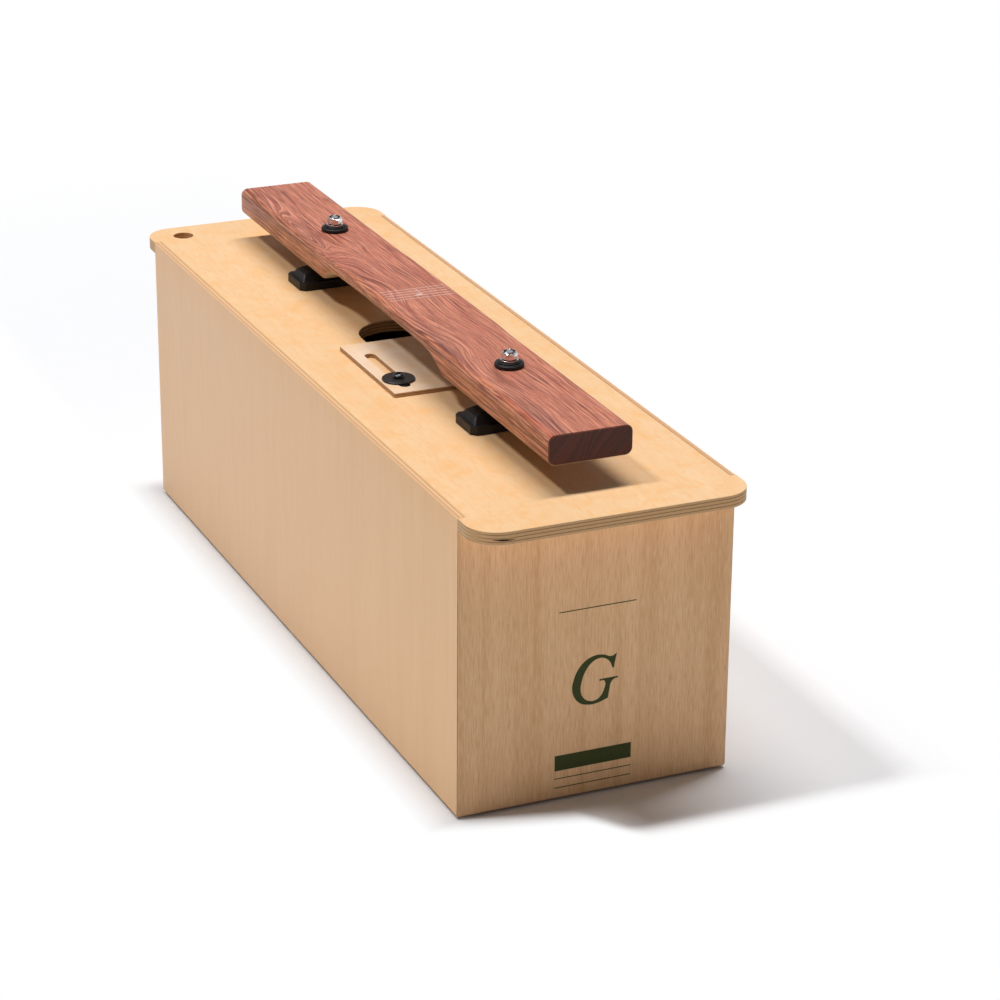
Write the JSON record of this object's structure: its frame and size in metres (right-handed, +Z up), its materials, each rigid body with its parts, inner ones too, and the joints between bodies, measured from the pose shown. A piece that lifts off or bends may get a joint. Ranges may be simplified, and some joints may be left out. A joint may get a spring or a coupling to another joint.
{
  "type": "contrabass bar",
  "caption": "Single tuned wooden bar bolted over its own plywood resonator box, with a sliding tuning plate over the sound hole.",
  "frame": {"origin": "on the floor under the middle of the box", "axes": "+X along the bar towards the lettered end, +Y across the box away from the clamp, +Z up"},
  "size_m": [0.687, 0.198, 0.2665],
  "materials": {
    "side_veneer": "lacquered beech plywood, pale",
    "end_veneer": "lacquered beech veneer, upright grain",
    "top_plywood": "satin lacquered birch plywood",
    "pale_plywood": "thin birch plywood, sanded",
    "softwood": "sawn spruce",
    "rosewood": "oiled rosewood with strong figure",
    "black_rubber": "moulded, matt",
    "black_plastic": "moulded, satin",
    "black_steel": "blackened steel",
    "zinc_steel": "bright zinc plated",
    "grey_felt": "thin felt pad"
  },
  "bodies": {
    "resonator": {"side_panel_left": "side_veneer", "side_panel_right": "side_veneer", "end_panel_front": "end_veneer", "end_panel_rear": "end_veneer", "bottom_panel": "pale_plywood", "top_plate": "top_plywood", "top_batten_left": "softwood", "top_batten_right": "softwood", "bottom_batten_left": "softwood", "bottom_batten_right": "softwood", "tone_bar": "rosewood", "clamp_guide": "black_plastic", "clamp_insert": "zinc_steel", "corner_block_front_left": "softwood", "foot_front_left": "grey_felt", "corner_block_front_right": "softwood", "foot_front_right": "grey_felt", "bar_rest_front": "black_rubber", "bar_bush_front": "black_rubber", "lock_ring_front": "black_plastic", "bar_bolt_front": "zinc_steel", "under_washer_front": "zinc_steel", "nut_washer_front": "zinc_steel", "lock_nut_front": "zinc_steel", "corner_block_rear_left": "softwood", "foot_rear_left": "grey_felt", "corner_block_rear_right": "softwood", "foot_rear_right": "grey_felt", "bar_rest_rear": "black_rubber", "bar_bush_rear": "black_rubber", "lock_ring_rear": "black_plastic", "bar_bolt_rear": "zinc_steel", "under_washer_rear": "zinc_steel", "nut_washer_rear": "zinc_steel", "lock_nut_rear": "zinc_steel"},
    "tuning_plate": {"tuning_plate": "pale_plywood"},
    "clamp_disc": {"clamp_disc": "black_plastic"},
    "clamp_screw": {"clamp_screw": "black_steel"}
  },
  "joints": [
    {"name": "tuning_slide", "type": "slide", "parent": "resonator", "child": "tuning_plate", "axis": [1, 0, 0], "range_m": [-0.0025, 0.045]},
    {"name": "clamp_lift", "type": "slide", "parent": "resonator", "child": "clamp_disc", "axis": [0, 0, 1], "range_m": [0, 0.0008]},
    {"name": "clamp_turn", "type": "hinge", "parent": "clamp_disc", "child": "clamp_screw", "pos_m": [0.0672, -0.0413, 0.2202], "axis": [0, 0, 1], "range_deg": [0, 360]}
  ],
  "couplings": [
    {"joint": "clamp_turn", "follows": "clamp_lift", "rad_per_m": 7854}
  ]
}
